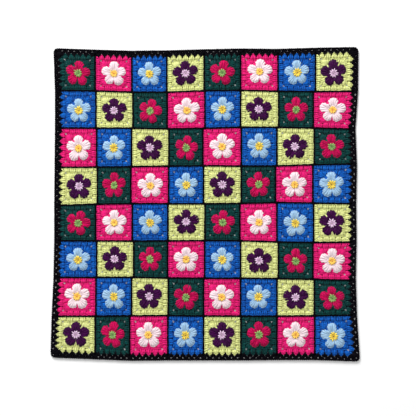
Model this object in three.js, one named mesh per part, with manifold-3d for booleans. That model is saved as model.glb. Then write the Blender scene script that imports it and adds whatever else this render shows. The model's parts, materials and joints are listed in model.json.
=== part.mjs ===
// Crochet blanket of 8 by 8 flower squares, lying flat.
// Millimetres, +Z up, the underside at z = 0, the blanket's top edge towards +Y.

import * as THREE from "three";
import Module from "manifold-3d";

// Driving sizes
const SQUARES = 8; // squares along each side
const PITCH_X = 98.1; // one square and one join, along a strip
const PITCH_Y = 101.1; // one square and one join, from strip to strip
const MIDDLE_X = -2.5; // where the fourth join of each way crosses
const MIDDLE_Y = 1.6;
const BORDER = 17; // from the outer edge to the middle of the squares' toothed edge
const CORNER_ROUND = 12; // where the outer edge starts to turn at a corner
const CORNER_STEPS = 4; // straight pieces round a corner
const JOIN_HALF = 2.3; // half the width of a join
const CLEARANCE = 0.45; // between neighbouring pieces

// Heights above the surface that the blanket lies on
const EDGE_TOP = 3.0; // a square's edge
const HOLE_TOP = 3.5; // a square's corner hole
const PETAL_FOOT = 3.9; // where the petals rise from the square
const VALLEY_TOP = 4.9; // between two petals
const PETAL_TOP = 6.2;
const CENTRE_TOP = 6.6;
const CENTRE_PIT = 5.6;
const WEB_TOP = 1.2; // the thin stretch under a join inside a strip
const SEAM_TOP = 4.0; // the joins along the seams between strips
const JOIN_TOP = 3.7; // the joins inside a strip
const JOIN_END = 1.0; // where a join ends inside a seam's bar, from the bar's middle
const RIDGE_SHARE = 0.75; // a join's width at its top, as a share of its full width
const BORDER_TOP = 3.0;
const CORD_TOP = 4.4; // the corded outer edge
const CORD_SIDE = 2.0;
const CORD_INSET = 3.4; // from the outer edge to the cord's crest

// Each side of a square has five groups of stitches between six spaces.
// The border dips into the spaces, so an edge that meets the border is toothed.
const GROUPS = 5;
const CORNER_SPACE = 0.065; // the first space, as a share of the side
const TOOTH = 4.4; // half the depth of a tooth
const SHALLOW = 0.85; // the depth at the ends of a side, as a share of that in its middle

// Flower, by radius from its middle and angle from a petal's axis
const PETALS = 5;
const PETAL_TIP = 33.5;
const PETAL_SHOULDER = 29.5;
const SHOULDER_ANGLE = 22;
const VALLEY_FOOT = 15;
const CROWN = 22.5;
const VALLEY_CREST = 12;
const CENTRE = 9.5;

// Corner holes of a square: their place as a share of the half side,
// and half their size along the diagonal and across it
const HOLE_AT = 0.75;
const HOLES = [
  { name: "upper left", sideways: -1, up: 1, along: 3.6, across: 2.3 },
  { name: "upper right", sideways: 1, up: 1, along: 2.7, across: 2.5 },
  { name: "lower left", sideways: -1, up: -1, along: 2.7, across: 2.5 },
  { name: "lower right", sideways: 1, up: -1, along: 3.6, across: 2.4 },
];

// The four colour schemes of the squares
const KINDS = {
  G: { ground: 0x0c4b41, petals: 0xd70a4b, centre: 0x64b44b },
  P: { ground: 0xeb1973, petals: 0xfaebf0, centre: 0xfabe46 },
  B: { ground: 0x1455be, petals: 0xa5cdf0, centre: 0xf0c832 },
  Y: { ground: 0xd7de82, petals: 0x3c0f46, centre: 0xd7aad7 },
};
const BLACK = 0x0b0b0d;

// Strips from the top down. turns: degrees that each flower is turned by.
// shifts: how far each of the seven joins in the strip lies right of its even place.
const STRIPS = [
  { kinds: "GPBYGPBY", turns: [-8, 0, 3, 3, -10, -1, 3, 5], shifts: [0, 1, -3, 0, 0, 3, 6] },
  { kinds: "BYGPBYGP", turns: [3, 2, -15, 3, 1, 1, 1, -2], shifts: [2, 4, -2, 2, 0, 5, 0] },
  { kinds: "PBYGPBYG", turns: [2, 3, 2, -9, 2, 1, 0, 1], shifts: [4, 0, 3, -4, 2, 0, 3] },
  { kinds: "YGPBYGPB", turns: [2, 1, 2, 2, 2, 2, 1, 4], shifts: [6, -2, 2, -2, 2, -4, -1] },
  { kinds: "GPBYGPBY", turns: [-16, 3, 4, 1, -7, 1, 4, 3], shifts: [1, 2, 0, 2, -2, 0, 1] },
  { kinds: "BYGPBYGP", turns: [2, -1, 1, 0, 1, 1, 1, 0], shifts: [4, 6, -1, 1, 0, 4, -1] },
  { kinds: "PBYGPBYG", turns: [2, 2, 1, -8, 2, 2, 2, 2], shifts: [2, 0, 1, -2, 0, 0, 3] },
  { kinds: "YGPBYGPB", turns: [0, -9, 1, 3, 2, 4, 1, 6], shifts: [0, -5, 0, -2, 1, 0, 4] },
];

// Seams between strips from the top down.
// lifts: how far the seam lies above its even place, by column.
const SEAMS = [
  { lifts: [2, 0, -5, 0, 3, 2, -2, 0] },
  { lifts: [2, 1, 2, -3, 5, 3, 5, -1] },
  { lifts: [-3, -2, -1, 1, 1, -1, 2, 6] },
  { lifts: [-5, 2, -2, 1, -2, 3, 3, 0] },
  { lifts: [1, 0, 0, 1, 2, 0, -5, -3] },
  { lifts: [3, 3, 4, -1, 2, -1, 1, -5] },
  { lifts: [-1, 0, 1, 1, -1, 0, -1, 2] },
];

// The outer edge at each join line, counted from the left for top and bottom, from the top for the sides
const OUTLINE = [
  { left: -409, right: 413, top: 421, bottom: -413 },
  { left: -405, right: 412, top: 417, bottom: -418 },
  { left: -405, right: 405, top: 414, bottom: -422 },
  { left: -406, right: 409, top: 415, bottom: -421 },
  { left: -407, right: 407, top: 418, bottom: -421 },
  { left: -407, right: 408, top: 420, bottom: -421 },
  { left: -409, right: 406, top: 419, bottom: -420 },
  { left: -414, right: 409, top: 422, bottom: -420 },
  { left: -417, right: 417, top: 424, bottom: -424 },
];

const { degToRad, lerp, clamp } = THREE.MathUtils;
const LAST = SQUARES - 1;
const evenX = (line) => (line - SQUARES / 2) * PITCH_X + MIDDLE_X;
const evenY = (line) => (SQUARES / 2 - line) * PITCH_Y + MIDDLE_Y;

// A line through one value at each join line, read at a place between them
function along(values, place) {
  const span = clamp(place, 0, SQUARES);
  const first = Math.min(Math.floor(span), LAST);
  return lerp(values[first], values[first + 1], span - first);
}

const outer = (side, place) => along(OUTLINE.map((row) => row[side]), place);
const columnAt = (x) => (x - MIDDLE_X) / PITCH_X + SQUARES / 2;

// A seam's lift at each join line is the mean of the two columns beside it
function seamLift(seam, x) {
  const { lifts } = SEAMS[seam - 1];
  const atLines = [lifts[0], ...lifts.slice(1).map((lift, i) => (lift + lifts[i]) / 2), lifts[LAST]];
  return along(atLines, columnAt(x));
}

// The upright line number line (0 to 8) in a strip, at a place counted in strips from the top
function lineX(line, strip, place) {
  if (line === 0) return outer("left", place) + BORDER;
  if (line === SQUARES) return outer("right", place) - BORDER;
  return evenX(line) + STRIPS[strip].shifts[line - 1];
}

// The level line number line (0 to 8) at a place x
function lineY(line, x) {
  if (line === 0) return outer("top", columnAt(x)) - BORDER;
  if (line === SQUARES) return outer("bottom", columnAt(x)) + BORDER;
  return evenY(line) + seamLift(line, x);
}

// A point of a square, with s and t from -1 to 1 across and up it
function squarePoint(strip, column, s, t) {
  const room = (line) => (line === 0 || line === SQUARES ? 0 : JOIN_HALF + CLEARANCE);
  const place = strip + (1 - t) / 2;
  const left = lineX(column, strip, place) + room(column);
  const right = lineX(column + 1, strip, place) - room(column + 1);
  const x = lerp(left, right, (s + 1) / 2);
  const top = lineY(strip, x) - room(strip);
  const bottom = lineY(strip + 1, x) + room(strip + 1);
  return new THREE.Vector2(x, lerp(bottom, top, (t + 1) / 2));
}

// Sides of a square, anticlockwise: its corners and the way out
const SIDES = [
  { from: [-1, -1], to: [1, -1], out: [0, -1] },
  { from: [1, -1], to: [1, 1], out: [1, 0] },
  { from: [1, 1], to: [-1, 1], out: [0, 1] },
  { from: [-1, 1], to: [-1, -1], out: [-1, 0] },
];

// Places along a toothed side, as a share of it, with how far each stands out
function teeth() {
  const step = (1 - 2 * CORNER_SPACE) / GROUPS;
  const places = [{ share: 0, out: 0 }];
  for (let space = 0; space <= GROUPS; space++) {
    const share = CORNER_SPACE + space * step;
    const depth = TOOTH * lerp(SHALLOW, 1, Math.sin(Math.PI * share));
    places.push({ share, out: -depth });
    if (space < GROUPS) places.push({ share: share + step / 2, out: depth });
  }
  return places;
}

const TEETH = teeth();
const PLAIN = [{ share: 0, out: 0 }];

function meetsBorder(strip, column, side) {
  return [strip === LAST, column === LAST, strip === 0, column === 0][side];
}

// Points along one side of a square, moved out by a little more where asked
function sidePoints(strip, column, side, places, more = 0) {
  const { from, to, out } = SIDES[side];
  return places.map((place) => {
    const s = lerp(from[0], to[0], place.share);
    const t = lerp(from[1], to[1], place.share);
    const reach = place.out + more;
    return squarePoint(strip, column, s, t).add(new THREE.Vector2(out[0] * reach, out[1] * reach));
  });
}

// A closed skin of triangles, gathered face by face with a colour for each
class Skin {
  constructor() {
    this.places = [];
    this.colours = [];
  }

  face(a, b, c, colour) {
    for (const point of [a, b, c]) {
      this.places.push(point.x, point.y, point.z);
      this.colours.push(colour.r, colour.g, colour.b);
    }
  }

  // A flat or gently domed face inside a contour and round its holes, facing up or down
  cap(contour, holes, colour, up = true) {
    const points = [contour, ...holes].flat();
    for (const [i, j, k] of THREE.ShapeUtils.triangulateShape(contour, holes)) {
      const [a, b, c] = [points[i], points[j], points[k]];
      const turn = (b.x - a.x) * (c.y - a.y) - (b.y - a.y) * (c.x - a.x);
      if (turn > 0 === up) this.face(a, b, c, colour);
      else this.face(a, c, b, colour);
    }
  }

  // A band between two rings with as many points, outside on the right of the way round
  band(low, high, colour) {
    low.forEach((point, i) => {
      const next = (i + 1) % low.length;
      this.face(point, low[next], high[next], colour);
      this.face(point, high[next], high[i], colour);
    });
  }

  // An upright wall between two posts, each a list of two or three points from the bottom up
  wall(first, second, colour) {
    if (first.length === second.length) {
      for (let i = 1; i < first.length; i++) {
        this.face(first[i - 1], second[i - 1], second[i], colour);
        this.face(first[i - 1], second[i], first[i], colour);
      }
    } else if (first.length > second.length) {
      this.face(first[0], second[0], first[1], colour);
      this.face(first[1], second[0], second[1], colour);
      this.face(first[1], second[1], first[2], colour);
    } else {
      this.face(first[0], second[0], second[1], colour);
      this.face(first[0], second[1], first[1], colour);
      this.face(first[1], second[1], second[2], colour);
    }
  }

  geometry() {
    const geometry = new THREE.BufferGeometry();
    geometry.setAttribute("position", new THREE.Float32BufferAttribute(this.places, 3));
    geometry.setAttribute("color", new THREE.Float32BufferAttribute(this.colours, 3));
    geometry.computeVertexNormals();
    return geometry;
  }
}

const lift = (points, z) => points.map((point) => new THREE.Vector3(point.x, point.y, z));

function around(middle, radius, angle, z) {
  const turn = degToRad(angle);
  return new THREE.Vector3(middle.x + radius * Math.cos(turn), middle.y + radius * Math.sin(turn), z);
}

// A raised flower on its foot ring; returns the foot ring, which the square's face goes round
function addFlower(skin, middle, turn, kind) {
  const petals = new THREE.Color(kind.petals);
  const centre = new THREE.Color(kind.centre);
  const pit = around(middle, 0, 0, CENTRE_PIT);
  const step = 360 / PETALS;
  const foot = [];
  for (let petal = 0; petal < PETALS; petal++) {
    const axis = 90 + turn + petal * step;
    const [before, after] = [axis - step / 2, axis + step / 2];
    const valleys = [before, after].map((angle) => around(middle, VALLEY_FOOT, angle, PETAL_FOOT));
    const crests = [before, after].map((angle) => around(middle, VALLEY_CREST, angle, VALLEY_TOP));
    const low = around(middle, PETAL_SHOULDER, axis - SHOULDER_ANGLE, PETAL_FOOT);
    const tip = around(middle, PETAL_TIP, axis, PETAL_FOOT);
    const high = around(middle, PETAL_SHOULDER, axis + SHOULDER_ANGLE, PETAL_FOOT);
    const crown = around(middle, CROWN, axis, PETAL_TOP);
    const rim = around(middle, CENTRE, axis, CENTRE_TOP);
    const nextRim = around(middle, CENTRE, axis + step, CENTRE_TOP);
    skin.face(crests[0], valleys[0], low, petals);
    skin.face(crests[0], low, crown, petals);
    skin.face(crown, low, tip, petals);
    skin.face(crown, tip, high, petals);
    skin.face(crown, high, crests[1], petals);
    skin.face(crests[1], high, valleys[1], petals);
    skin.face(rim, crests[0], crown, petals);
    skin.face(rim, crown, crests[1], petals);
    skin.face(rim, crests[1], nextRim, petals);
    skin.face(pit, rim, nextRim, centre);
    foot.push(valleys[0], low, tip, high);
  }
  return foot;
}

// The rims of a square's four corner holes, seen from above, anticlockwise
function holeRims(strip, column) {
  return HOLES.map((hole) => {
    const middle = squarePoint(strip, column, hole.sideways * HOLE_AT, hole.up * HOLE_AT);
    const out = new THREE.Vector2(hole.sideways, hole.up).normalize();
    const across = new THREE.Vector2(-out.y, out.x);
    const corner = (way, size) => middle.clone().addScaledVector(way, size);
    return [
      corner(out, hole.along),
      corner(across, hole.across),
      corner(out, -hole.along),
      corner(across, -hole.across),
    ];
  });
}

// One square of a strip, open at its sides where a thin web joins it to its neighbours.
// It returns its corner posts, for those webs.
function addSquare(skin, strip, column) {
  const { kinds, turns } = STRIPS[strip];
  const kind = KINDS[kinds[column]];
  const ground = new THREE.Color(kind.ground);
  const foot = addFlower(skin, squarePoint(strip, column, 0, 0), turns[column], kind);
  const rims = holeRims(strip, column);
  const webSides = [false, column < LAST, false, column > 0];

  const posts = [];
  const corners = [];
  SIDES.forEach((_, side) => {
    const places = meetsBorder(strip, column, side) ? TEETH : PLAIN;
    sidePoints(strip, column, side, places).forEach((point, i) => {
      const nearWeb = i === 0 && (webSides[side] || webSides[(side + 3) % 4]);
      const levels = nearWeb ? [0, WEB_TOP, EDGE_TOP] : [0, EDGE_TOP];
      posts.push(levels.map((z) => new THREE.Vector3(point.x, point.y, z)));
      if (i === 0) corners.push(posts.at(-1));
    });
  });

  posts.forEach((post, i) => {
    const next = posts[(i + 1) % posts.length];
    const web = webSides[corners.indexOf(post)];
    if (web) skin.wall(post.slice(1), next.slice(1), ground);
    else skin.wall(post, next, ground);
  });

  const tops = posts.map((post) => post.at(-1));
  const bottoms = posts.map((post) => post[0]);
  const lowRims = rims.map((rim) => lift(rim, 0));
  const highRims = rims.map((rim) => lift(rim, HOLE_TOP));
  skin.cap(tops, [foot, ...highRims], ground);
  skin.cap(bottoms, lowRims, ground, false);
  lowRims.forEach((rim, i) => skin.band(rim.toReversed(), highRims[i].toReversed(), ground));
  return corners;
}

// The thin web between two squares of a strip, from the right side of one to the left side of the next
function addWeb(skin, before, after, colour) {
  const [, lowerLeft, upperLeft] = before;
  const [lowerRight, , , upperRight] = after;
  const [low, high] = [0, 1].map((level) =>
    [lowerLeft, lowerRight, upperRight, upperLeft].map((post) => post[level]));
  skin.cap(high, [], colour);
  skin.cap(low, [], colour, false);
  skin.wall([low[0], high[0]], [low[1], high[1]], colour);
  skin.wall([low[2], high[2]], [low[3], high[3]], colour);
}

function stripGeometry(strip) {
  const skin = new Skin();
  const black = new THREE.Color(BLACK);
  let before = null;
  for (let column = 0; column < SQUARES; column++) {
    const corners = addSquare(skin, strip, column);
    if (before) addWeb(skin, before, corners, black);
    before = corners;
  }
  return skin.geometry();
}

// A bar along a path, with a flat underside and a narrower top; side is the way across it
function barSkin(path, side, low, high) {
  const skin = new Skin();
  const black = new THREE.Color(BLACK);
  const posts = path.map((point) => {
    const at = (half, z) => new THREE.Vector3(point.x + side.x * half, point.y + side.y * half, z);
    const ridge = JOIN_HALF * RIDGE_SHARE;
    return [at(JOIN_HALF, low), at(ridge, high), at(-ridge, high), at(-JOIN_HALF, low)];
  });
  for (let i = 1; i < posts.length; i++) {
    posts[i].forEach((point, j) => {
      const next = (j + 1) % 4;
      skin.face(posts[i - 1][j], posts[i][next], posts[i - 1][next], black);
      skin.face(posts[i - 1][j], point, posts[i][next], black);
    });
  }
  for (const [a, b, c, d] of [posts[0], posts.at(-1).toReversed()]) {
    skin.face(a, b, c, black);
    skin.face(a, c, d, black);
  }
  return skin;
}

// The black joining: a bar along each seam, and a bar over each web, made one
async function joinsGeometry() {
  const wasm = await Module();
  wasm.setup();
  const solid = (skin) => {
    const ids = new Map();
    const vertices = [];
    const triangles = [];
    for (let i = 0; i < skin.places.length; i += 3) {
      const point = skin.places.slice(i, i + 3).map(Math.fround);
      const key = point.join();
      if (!ids.has(key)) {
        ids.set(key, ids.size);
        vertices.push(...point);
      }
      triangles.push(ids.get(key));
    }
    const [vertProperties, triVerts] = [new Float32Array(vertices), new Uint32Array(triangles)];
    return new wasm.Manifold(new wasm.Mesh({ numProp: 3, vertProperties, triVerts }));
  };

  let joins = null;
  const add = (skin) => {
    joins = joins ? joins.add(solid(skin)) : solid(skin);
  };
  for (let seam = 1; seam < SQUARES; seam++) {
    const path = [];
    for (let line = 0; line <= SQUARES; line++) {
      const x = line % SQUARES ? evenX(line) : lineX(line, 0, seam);
      path.push(new THREE.Vector2(x, lineY(seam, x)));
    }
    add(barSkin(path, { x: 0, y: -1 }, 0, SEAM_TOP));
  }
  for (let strip = 0; strip < SQUARES; strip++) {
    for (let line = 1; line < SQUARES; line++) {
      const x = lineX(line, strip, strip);
      const low = lineY(strip + 1, x) + (strip === LAST ? 0 : JOIN_END);
      const high = lineY(strip, x) - (strip === 0 ? 0 : JOIN_END);
      const path = [low, high].map((y) => new THREE.Vector2(x, y));
      add(barSkin(path, { x: 1, y: 0 }, WEB_TOP + CLEARANCE, JOIN_TOP));
    }
  }

  const { vertProperties, triVerts } = joins.getMesh();
  const geometry = new THREE.BufferGeometry();
  geometry.setAttribute("position", new THREE.BufferAttribute(vertProperties, 3));
  geometry.setIndex(new THREE.BufferAttribute(triVerts, 1));
  geometry.computeVertexNormals();
  return geometry;
}

// The outer edge, anticlockwise, drawn in by an inset, with rounded corners
function outerEdge(inset) {
  const point = (side, line) => {
    const edge = OUTLINE[line][side];
    const drawnIn = edge - Math.sign(edge) * inset;
    const upright = side === "left" || side === "right";
    return upright ? new THREE.Vector2(drawnIn, evenY(line)) : new THREE.Vector2(evenX(line), drawnIn);
  };
  const rising = Array.from({ length: LAST }, (_, i) => i + 1);
  const falling = rising.toReversed();
  const sides = [
    { side: "bottom", before: "left", column: 0, row: SQUARES, lines: rising },
    { side: "right", before: "bottom", column: SQUARES, row: SQUARES, lines: falling },
    { side: "top", before: "right", column: SQUARES, row: 0, lines: falling },
    { side: "left", before: "top", column: 0, row: 0, lines: rising },
  ].map(({ side, before, column, row, lines }) => {
    const [across, up] = side === "left" || side === "right" ? [side, before] : [before, side];
    const corner = new THREE.Vector2(point(across, row).x, point(up, column).y);
    return { corner, points: lines.map((line) => point(side, line)) };
  });
  return sides.flatMap((side, i) => {
    const before = sides[(i + 3) % 4].points.at(-1);
    const towards = (point) => {
      const way = point.clone().sub(side.corner);
      return way.setLength(CORNER_ROUND - inset).add(side.corner);
    };
    const bend = new THREE.QuadraticBezierCurve(towards(before), side.corner, towards(side.points[0]));
    return [...bend.getPoints(CORNER_STEPS), ...side.points];
  });
}

// The inner edge of the border, anticlockwise, following the squares' teeth at a small distance
function innerEdge() {
  const edge = [];
  SIDES.forEach((_, side) => {
    const order = Array.from({ length: SQUARES }, (_, i) => (side === 0 || side === 3 ? i : LAST - i));
    for (const i of order) {
      const [strip, column] = [[LAST, i], [i, LAST], [0, i], [i, 0]][side];
      const points = sidePoints(strip, column, side, [...TEETH, { share: 1, out: 0 }], CLEARANCE);
      if (i === order[0]) points.shift();
      if (i === order.at(-1)) {
        const next = SIDES[(side + 1) % 4].out;
        points.at(-1).add(new THREE.Vector2(next[0], next[1]).multiplyScalar(CLEARANCE));
      }
      edge.push(...points);
    }
  });
  return edge;
}

function borderGeometry() {
  const skin = new Skin();
  const black = new THREE.Color(BLACK);
  const outside = outerEdge(0);
  const crest = lift(outerEdge(CORD_INSET), CORD_TOP);
  const inside = innerEdge();
  const [outLow, outHigh] = [lift(outside, 0), lift(outside, CORD_SIDE)];
  const [inLow, inHigh] = [lift(inside, 0), lift(inside, BORDER_TOP)];
  skin.band(outLow, outHigh, black);
  skin.band(outHigh, crest, black);
  skin.cap(crest, [inHigh], black);
  skin.cap(outLow, [inLow], black, false);
  skin.band(inLow.toReversed(), inHigh.toReversed(), black);
  return skin.geometry();
}

function piece(name, geometry, look) {
  const yarn = new THREE.MeshStandardMaterial({ roughness: 0.9, metalness: 0, ...look });
  const mesh = new THREE.Mesh(geometry, yarn);
  mesh.name = name;
  return mesh;
}

const blanket = new THREE.Group();
for (let strip = 0; strip < SQUARES; strip++) {
  blanket.add(piece(`strip_${strip + 1}`, stripGeometry(strip), { vertexColors: true }));
}
blanket.add(piece("joins", await joinsGeometry(), { color: BLACK }));
blanket.add(piece("border", borderGeometry(), { color: BLACK }));

// The origin is under the middle of the blanket's box
const box = new THREE.Box3().setFromPoints(lift(outerEdge(0), 0));
const middle = box.getCenter(new THREE.Vector3());
blanket.position.set(-middle.x, -middle.y, 0);

export default blanket;
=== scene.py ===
"""Crochet blanket of flower squares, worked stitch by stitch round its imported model."""

import json

import bpy
import numpy as np
from bpy.props import FloatProperty, FloatVectorProperty, IntProperty, PointerProperty
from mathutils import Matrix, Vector
from mathutils.geometry import tessellate_polygon

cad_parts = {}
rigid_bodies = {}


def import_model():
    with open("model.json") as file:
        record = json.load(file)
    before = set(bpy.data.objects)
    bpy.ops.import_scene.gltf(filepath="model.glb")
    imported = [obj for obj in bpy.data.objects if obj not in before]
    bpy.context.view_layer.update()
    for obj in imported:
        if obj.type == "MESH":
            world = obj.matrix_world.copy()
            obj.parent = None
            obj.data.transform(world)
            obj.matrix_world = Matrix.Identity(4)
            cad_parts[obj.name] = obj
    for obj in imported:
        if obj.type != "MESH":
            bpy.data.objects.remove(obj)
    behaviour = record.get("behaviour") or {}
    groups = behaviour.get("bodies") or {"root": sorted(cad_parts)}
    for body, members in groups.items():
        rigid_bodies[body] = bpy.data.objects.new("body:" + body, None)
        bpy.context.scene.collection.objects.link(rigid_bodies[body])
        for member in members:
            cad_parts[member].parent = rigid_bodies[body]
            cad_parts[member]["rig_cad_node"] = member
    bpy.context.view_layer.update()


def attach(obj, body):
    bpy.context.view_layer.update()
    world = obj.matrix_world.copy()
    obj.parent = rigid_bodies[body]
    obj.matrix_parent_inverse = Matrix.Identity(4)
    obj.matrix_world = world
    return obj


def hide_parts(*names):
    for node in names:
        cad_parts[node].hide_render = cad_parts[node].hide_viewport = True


bl_info = {
    "name": "Flower Square Blanket",
    "version": (1, 0, 0),
    "blender": (4, 5, 0),
    "location": "View3D > Sidebar > Blanket",
    "description": "Works a crochet blanket of flower squares in yarn, with its joins and border",
    "category": "Add Mesh",
}

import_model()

MM = 0.001
BODY = "root"
STRIP_NODES = [f"strip_{number}" for number in range(1, 9)]

# The blanket's plan, in millimetres, as its solids have it
SQUARES = 8
LAST = SQUARES - 1
PITCH_X = 98.1
PITCH_Y = 101.1
MIDDLE_X = -2.5
MIDDLE_Y = 1.6
BORDER = 17.0  # from the outer edge to the middle of the squares' toothed edge
CORNER_ROUND = 12.0
CORNER_POINTS = 9  # of the outer edge's rounding
JOIN_ROOM = 2.75  # from the middle of a join to a square's edge
HALF = 47.0  # half a square, in the stitches' own sizes

# Strips from the top down, as in the solids: the squares' kinds, the turn of each flower in
# degrees, and how far each join in the strip lies right of its even place
STRIPS = [
    {"kinds": "GPBYGPBY", "turns": (-8, 0, 3, 3, -10, -1, 3, 5), "shifts": (0, 1, -3, 0, 0, 3, 6)},
    {"kinds": "BYGPBYGP", "turns": (3, 2, -15, 3, 1, 1, 1, -2), "shifts": (2, 4, -2, 2, 0, 5, 0)},
    {"kinds": "PBYGPBYG", "turns": (2, 3, 2, -9, 2, 1, 0, 1), "shifts": (4, 0, 3, -4, 2, 0, 3)},
    {"kinds": "YGPBYGPB", "turns": (2, 1, 2, 2, 2, 2, 1, 4), "shifts": (6, -2, 2, -2, 2, -4, -1)},
    {"kinds": "GPBYGPBY", "turns": (-16, 3, 4, 1, -7, 1, 4, 3), "shifts": (1, 2, 0, 2, -2, 0, 1)},
    {"kinds": "BYGPBYGP", "turns": (2, -1, 1, 0, 1, 1, 1, 0), "shifts": (4, 6, -1, 1, 0, 4, -1)},
    {"kinds": "PBYGPBYG", "turns": (2, 2, 1, -8, 2, 2, 2, 2), "shifts": (2, 0, 1, -2, 0, 0, 3)},
    {"kinds": "YGPBYGPB", "turns": (0, -9, 1, 3, 2, 4, 1, 6), "shifts": (0, -5, 0, -2, 1, 0, 4)},
]

# How far each flower lies right of and above its square's middle, by strip from the top down
FLOWER_PLACES = [
    {"right": (2, 1, 0, 0, -1, 1, 1, -1), "up": (-2, 0, 0, 0, -1, 2, 0, -3)},
    {"right": (2, -1, 0, 2, -1, -2, 0, 1), "up": (-3, -2, -2, -2, -1, -1, -1, 0)},
    {"right": (0, -1, -1, 1, 0, 0, -2, -2), "up": (-2, -1, -1, -2, 0, 1, -1, -1)},
    {"right": (1, 0, 2, 1, 0, 1, 1, -1), "up": (-1, 0, -2, -1, 0, 0, -2, -2)},
    {"right": (1, 1, 0, -1, 1, 2, 0, -1), "up": (-1, -1, -1, 1, -1, -1, -2, -1)},
    {"right": (0, -2, -2, 0, -1, -1, 0, 1), "up": (-2, 0, 0, 0, -1, -2, -2, 0)},
    {"right": (0, 0, -2, 0, -1, -1, 0, -1), "up": (1, 0, 0, -1, 0, 1, 0, -2)},
    {"right": (0, 0, -1, -1, -1, 0, -1, -1), "up": (0, 1, 1, 0, 1, 2, 1, -2)},
]

# Seams between strips from the top down: how far each lies above its even place, by column
SEAM_LIFTS = [
    (2, 0, -5, 0, 3, 2, -2, 0),
    (2, 1, 2, -3, 5, 3, 5, -1),
    (-3, -2, -1, 1, 1, -1, 2, 6),
    (-5, 2, -2, 1, -2, 3, 3, 0),
    (1, 0, 0, 1, 2, 0, -5, -3),
    (3, 3, 4, -1, 2, -1, 1, -5),
    (-1, 0, 1, 1, -1, 0, -1, 2),
]

# The outer edge at each join line
OUTLINE = {
    "left": (-409, -405, -405, -406, -407, -407, -409, -414, -417),
    "right": (413, 412, 405, 409, 407, 408, 406, 409, 417),
    "top": (421, 417, 414, 415, 418, 420, 419, 422, 424),
    "bottom": (-413, -418, -422, -421, -421, -421, -420, -420, -424),
}

KINDS = "GPBY"
YARNS = {
    "G": {"ground": "green_yarn", "petals": "crimson_yarn", "centre": "leaf_yarn"},
    "P": {"ground": "pink_yarn", "petals": "white_yarn", "centre": "orange_yarn"},
    "B": {"ground": "blue_yarn", "petals": "sky_yarn", "centre": "yellow_yarn"},
    "Y": {"ground": "lime_yarn", "petals": "plum_yarn", "centre": "lilac_yarn"},
}
# The flowers' sizes by kind: how far the petals reach and spread, and the centre's reach
FLOWER_SIZES = {
    "G": {"petals": 1.035, "spread": 0.94, "centre": 1.01},
    "P": {"petals": 1.01, "spread": 0.96, "centre": 0.93},
    "B": {"petals": 0.985, "spread": 0.94, "centre": 1.09},
    "Y": {"petals": 1.035, "spread": 1.02, "centre": 1.04},
}

# Stitches of a square, in millimetres from its middle
GROUPS = 5  # groups of three stitches on each side of the last round
CORNER_SPACE = 0.065  # the first space between groups, as a share of the side
GROUP_STEP = (1 - 2 * CORNER_SPACE) / GROUPS * 2 * HALF
GROUP_MIDDLES = (np.arange(GROUPS) - (GROUPS - 1) / 2) * GROUP_STEP
SPACES = (2 * CORNER_SPACE - 1) * HALF + GROUP_STEP * np.arange(GROUPS + 1)
TIPS = (SPACES[1:] + SPACES[:-1]) / 2
STITCH_STEP = 5.4  # between the tops of a group's stitches
CORNER_HOLE = 35.25  # from the middle, across and up
CORNER_HOLE_HALVES = {"rising": (3.4, 3.2), "falling": (4.2, 3.0)}
PETALS = 5
PETAL_MIDDLE = 19.5  # from the flower's middle, where the tops' loops point away from

# The last round: how far apart a group's feet are, and how far out its feet and tops are
LAST_APART = {"corner": 2.6, "toothed": 4.7, "even": 3.9}
LAST_FEET = {"corner": 37.4, "even": 34.4}
LAST_TOPS = {"tip": 48.2, "toothed": 44.9, "even": 45.0}
CORNER_PULL = 1.6  # how far a corner group's feet are drawn towards the side's middle
TOOTH_SQUEEZE = 0.82  # how much closer the tops in a tooth are

# The round before: a step from group to group, then as above
INNER_STEP = 16.2
INNER_APART = 3.0
INNER_DRAWN = 0.78  # how far out along the side the feet are, as a share of the tops
INNER_FEET = {"corner": 21.0, "even": 22.5}
INNER_TOPS = 33.0
INNER_SPREAD = {"outermost": 4.2, "even": 5.0}
PETAL_ROOM = 8.0  # stitches closer than that to a petal's middle are covered
DIAGONALS = {"inner": (17.0, 31.0), "outer": (39.2, 45.0)}  # from and to, at each corner
CHAINS = ((38.6, 2.4), (46.2, 2.7))  # round the corner holes: how far out, and how high
CHAIN_SHAPE = np.array(((7.6, 1.6), (2.0, 0), (0, 2.0), (1.6, 7.6)))  # how far in from there
# Stitches between petals: degrees apart and how far out, at the feet and at the tops
VALLEYS = ((3, 14.0), (12, 27.5))

# How far places stray at random; the spots are the painted shadows in the spaces
JITTER = {
    "last_feet": 0.5, "last_tops": 0.45, "inner": 0.5, "petals": 0.35, "legs": 0.5, "dips": 0.25,
    "braid": 0.15, "cord": 0.15, "spots": 0.8, "level": 0.12,
}

# Heights of tall stitches: at the foot, at the top, and the bow between
LAST_LEVELS = (2.1, 2.4, 0.5)
INNER_LEVELS = (2.1, 2.3, 0.45)
VALLEY_LEVELS = (3.4, 2.5, 0.5)
PETAL_LEVELS = (3.5, 3.3, 1.1)
RING_LEVELS = (3.7, 3.9, 0.3)
CENTRE_LEVELS = (4.3, 5.0, 0.7)
BORDER_LEVELS = (2.2, 2.5, 0.5)
FAN_LEVELS = (3.8, 2.6, 0.6)

# Loops over the tops: half their spread, their reach, their height and their rise
LAST_LOOPS = (2.5, 1.7, 2.7, 0.7)
INNER_LOOPS = (2.3, 1.3, 2.6, 0.5)
PETAL_LOOPS = (2.9, 1.4, 3.3, 0.4)
BORDER_LOOPS = (2.6, 1.2, 2.9, 0.5)
LOOP_SHAPE = ((-1, 0, 0), (-0.5, 0.85, 1), (0.5, 0.85, 1), (1, 0, 0))
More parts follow.
